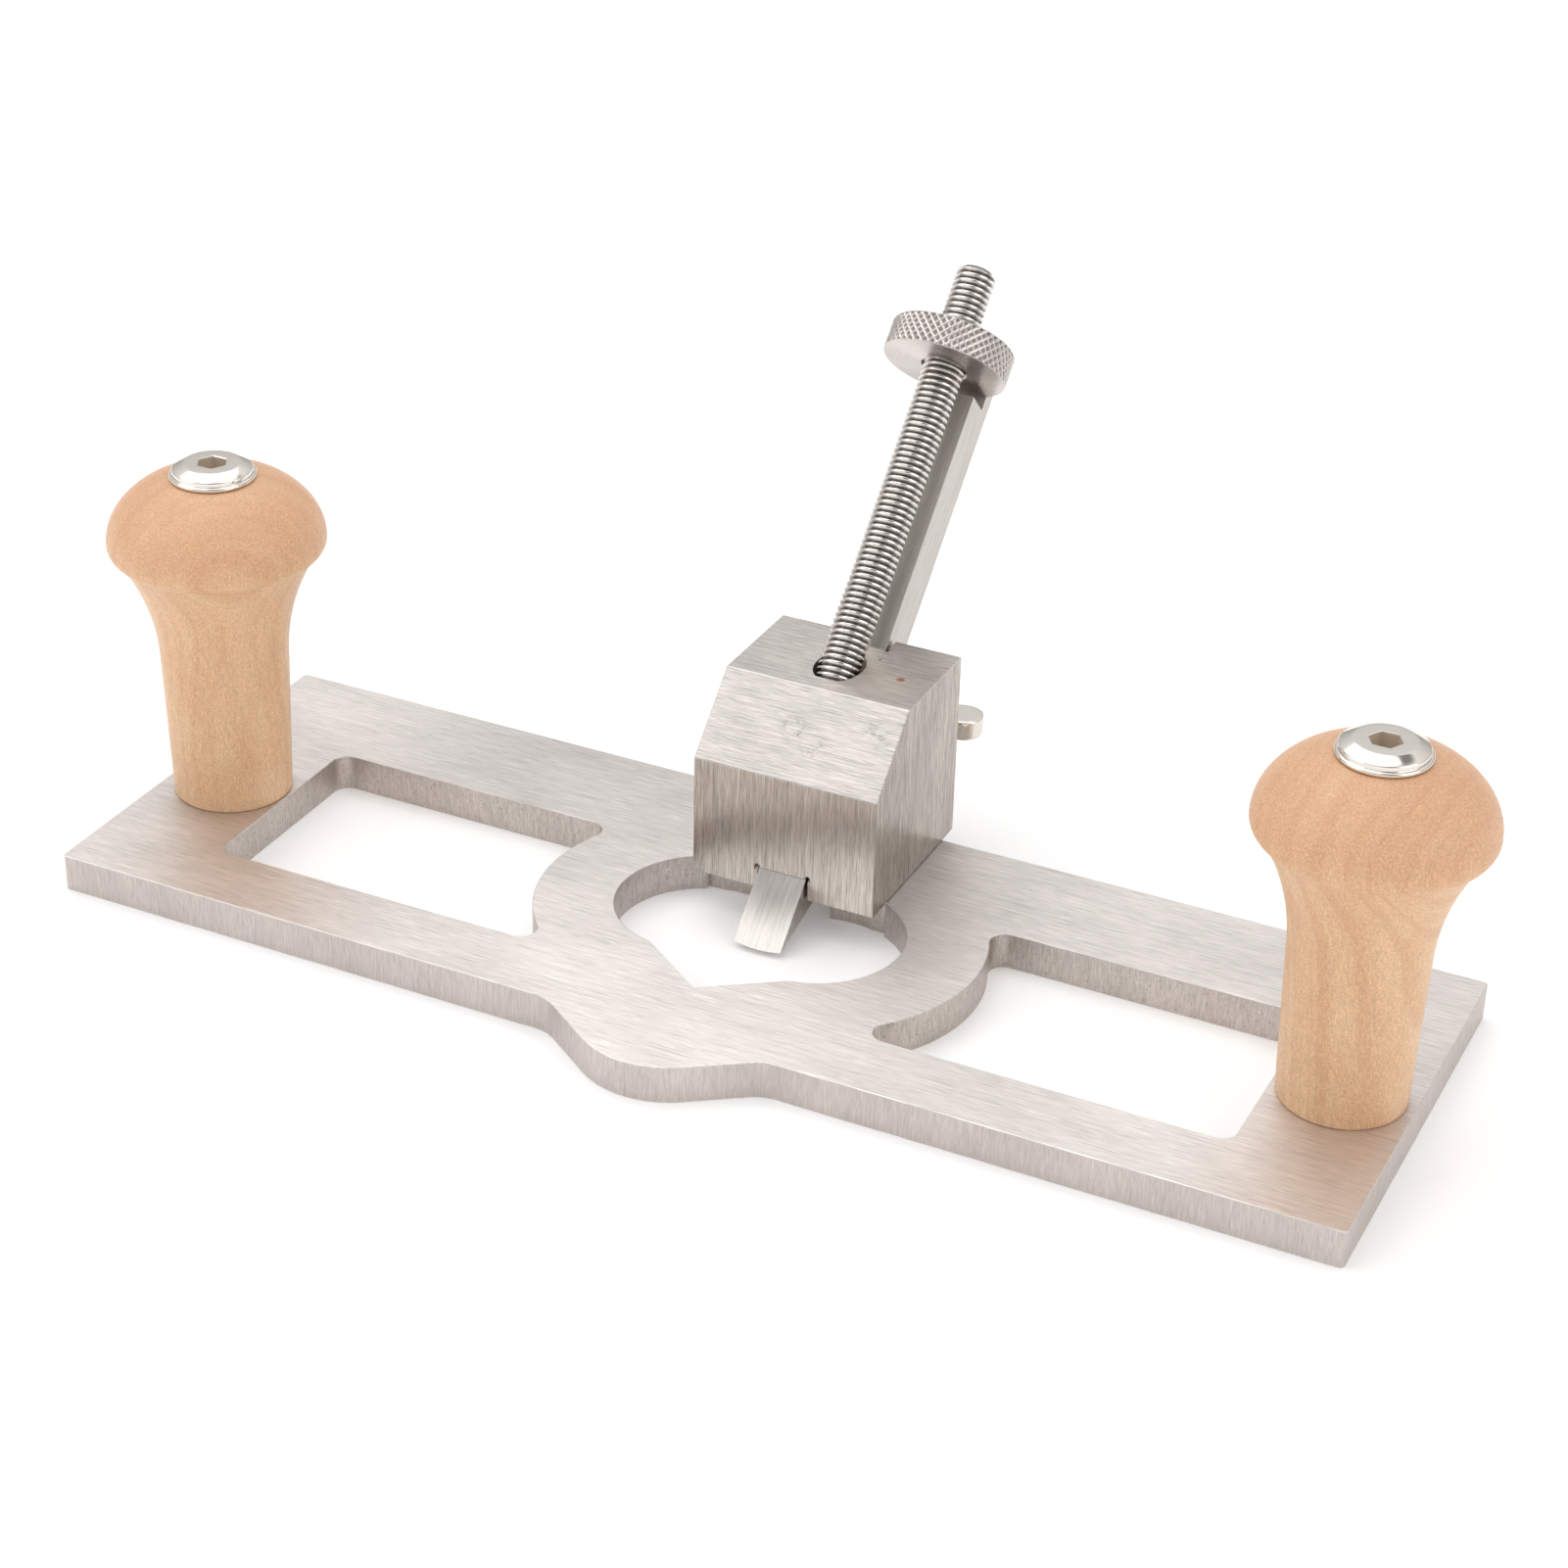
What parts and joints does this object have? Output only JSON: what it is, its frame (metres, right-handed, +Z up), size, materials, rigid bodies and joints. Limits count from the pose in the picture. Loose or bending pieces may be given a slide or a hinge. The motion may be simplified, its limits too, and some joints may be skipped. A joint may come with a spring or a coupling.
{
  "type": "hand router plane",
  "caption": "Small hand router plane: flat steel sole with a mouth, a cutter bar fed at 45 degrees by a knurled nut on a stud, a wing screw clamp and turned wooden knobs.",
  "frame": {"origin": "middle of the plate's rectangle, on the sole", "axes": "+X along the plate to the right knob, +Y to the back where the cutter bar leans, +Z up from the sole"},
  "size_m": [0.2648, 0.1468, 0.1043],
  "materials": {
    "plate_steel": "brushed lengthwise",
    "block_steel": "brushed",
    "screw_steel": "satin",
    "stud_steel": "bright thread",
    "wheel_steel": "turned and knurled",
    "cutter_steel": "ground",
    "nickel": "polished nickel",
    "knob_wood": "satin clear oil on pale maple"
  },
  "bodies": {
    "frame": {"base_plate": "plate_steel", "tool_block": "block_steel", "block_screws": "screw_steel", "adjuster_stud": "stud_steel", "left_knob": "knob_wood", "right_knob": "knob_wood", "left_knob_bolt": "nickel", "right_knob_bolt": "nickel"},
    "cutter": {"cutter": "cutter_steel"},
    "wheel": {"depth_wheel": "wheel_steel"},
    "clamp": {"wing_screw": "nickel"}
  },
  "joints": [
    {"name": "cutter_slide", "type": "slide", "parent": "frame", "child": "cutter", "axis": [0, 0.7071, 0.7071], "range_m": [-0.05, 0.014]},
    {"name": "wheel_turn", "type": "hinge", "parent": "cutter", "child": "wheel", "pos_m": [0, 0.07743, 0.08981], "axis": [0, 0.7071, 0.7071], "range_deg": [-14436, 4068]},
    {"name": "clamp_turn", "type": "hinge", "parent": "frame", "child": "clamp", "pos_m": [0, 0.0461, 0.0259], "axis": [0, 1, 0], "range_deg": [0, 55]}
  ],
  "couplings": [
    {"joint": "wheel_turn", "follows": "cutter_slide", "rad_per_m": 5026.5}
  ]
}
